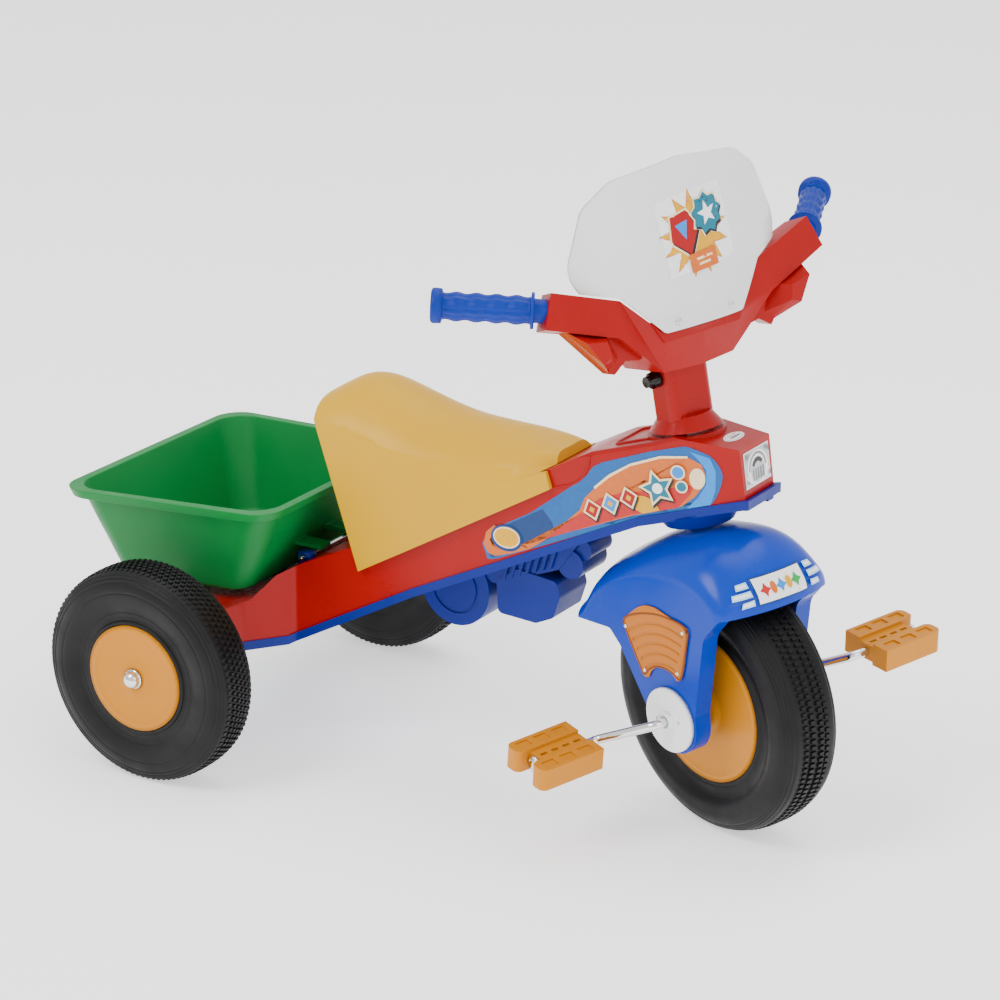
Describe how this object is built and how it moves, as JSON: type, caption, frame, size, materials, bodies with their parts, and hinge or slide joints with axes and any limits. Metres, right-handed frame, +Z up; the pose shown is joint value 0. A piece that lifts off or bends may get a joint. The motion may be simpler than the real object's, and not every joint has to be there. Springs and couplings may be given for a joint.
{
  "type": "children's tricycle",
  "caption": "Children's moulded plastic tricycle with pedals on the front wheel, saddle, windscreen over the handlebar and a tipping bucket behind the seat.",
  "frame": {"origin": "centre of the footprint box, on the ground", "axes": "+X forward, +Y to the rider's left, +Z up"},
  "size_m": [0.8058, 0.4756, 0.6347],
  "materials": {
    "red_plastic": "glossy moulded red plastic",
    "fender_blue": "glossy bright blue plastic",
    "base_blue": "satin blue plastic",
    "grip_blue": "soft satin blue plastic",
    "seat_yellow": "satin yellow plastic",
    "bucket_green": "satin green plastic",
    "wheel_yellow": "glossy warm yellow plastic",
    "tyre_grey": "matt dark grey tyre plastic",
    "plate_orange": "glossy light orange plastic",
    "white_nylon": "white nylon",
    "black_plastic": "glossy black plastic",
    "clear_screen": "milky translucent plastic",
    "label_film": "printed film",
    "steel_tube": "bare steel tube",
    "bright_steel": "bright plated steel"
  },
  "bodies": {
    "chassis": {"chassis_upper_shell": "red_plastic", "chassis_lower_shell": "base_blue", "engine_moulding": "base_blue", "seat": "seat_yellow", "rear_axle": "bright_steel", "axle_spacers": "white_nylon", "axle_cap_nuts": "bright_steel", "lower_steering_bush": "white_nylon", "upper_steering_bush": "white_nylon", "bucket_hinge_brackets": "base_blue", "bucket_hinge_rod": "bright_steel", "bucket_rest_rod": "bright_steel", "bucket_rest_clips": "base_blue", "body_labels": "label_film", "headlamp_label": "label_film", "nose_badge": "label_film"},
    "bucket": {"bucket": "bucket_green"},
    "steering": {"fork_fender": "fender_blue", "steerer_tube": "steel_tube", "steerer_screws": "bright_steel", "steering_column": "red_plastic", "clamp_bolt": "bright_steel", "clamp_nut": "bright_steel", "clamp_cap": "black_plastic", "handlebar_tube": "steel_tube", "handlebar_front_cover": "red_plastic", "handlebar_rear_cover": "red_plastic", "left_grip": "grip_blue", "right_grip": "grip_blue", "windscreen": "clear_screen", "windscreen_screws": "bright_steel", "left_fork_plate": "plate_orange", "right_fork_plate": "plate_orange", "fork_plate_rivets": "bright_steel", "left_crank_bearing": "white_nylon", "right_crank_bearing": "white_nylon", "fender_label": "label_film", "windscreen_label": "label_film"},
    "front_wheel": {"front_tyre": "tyre_grey", "front_hub_left": "wheel_yellow", "front_hub_right": "wheel_yellow", "crank_axle": "bright_steel", "pedal_push_nuts": "bright_steel"},
    "left_pedal": {"left_pedal": "wheel_yellow"},
    "right_pedal": {"right_pedal": "wheel_yellow"},
    "left_rear_wheel": {"left_rear_tyre": "tyre_grey", "left_rear_hub_outer": "wheel_yellow", "left_rear_hub_inner": "wheel_yellow"},
    "right_rear_wheel": {"right_rear_tyre": "tyre_grey", "right_rear_hub_outer": "wheel_yellow", "right_rear_hub_inner": "wheel_yellow"}
  },
  "joints": [
    {"name": "steering_hinge", "type": "hinge", "parent": "chassis", "child": "steering", "pos_m": [0.26358, 0, 0.1254], "axis": [-0.1891, 0, 0.982], "range_deg": [-15, 55]},
    {"name": "front_wheel_spin", "type": "hinge", "parent": "steering", "child": "front_wheel", "pos_m": [0.26358, 0, 0.1254], "axis": [0.3358, 0.9397, 0.0647], "continuous": true},
    {"name": "left_pedal_spin", "type": "hinge", "parent": "front_wheel", "child": "left_pedal", "pos_m": [0.36618, 0.13662, 0.15874], "axis": [0.3358, 0.9397, 0.0647], "continuous": true},
    {"name": "right_pedal_spin", "type": "hinge", "parent": "front_wheel", "child": "right_pedal", "pos_m": [0.16097, -0.13662, 0.09206], "axis": [0.3358, 0.9397, 0.0647], "continuous": true},
    {"name": "left_rear_wheel_spin", "type": "hinge", "parent": "chassis", "child": "left_rear_wheel", "pos_m": [-0.24993, 0.201, 0.107], "axis": [0, 1, 0], "continuous": true},
    {"name": "right_rear_wheel_spin", "type": "hinge", "parent": "chassis", "child": "right_rear_wheel", "pos_m": [-0.24993, -0.201, 0.107], "axis": [0, 1, 0], "continuous": true},
    {"name": "bucket_hinge", "type": "hinge", "parent": "chassis", "child": "bucket", "pos_m": [-0.29192, 0, 0.15], "axis": [0, -1, 0], "range_deg": [0, 55]}
  ]
}
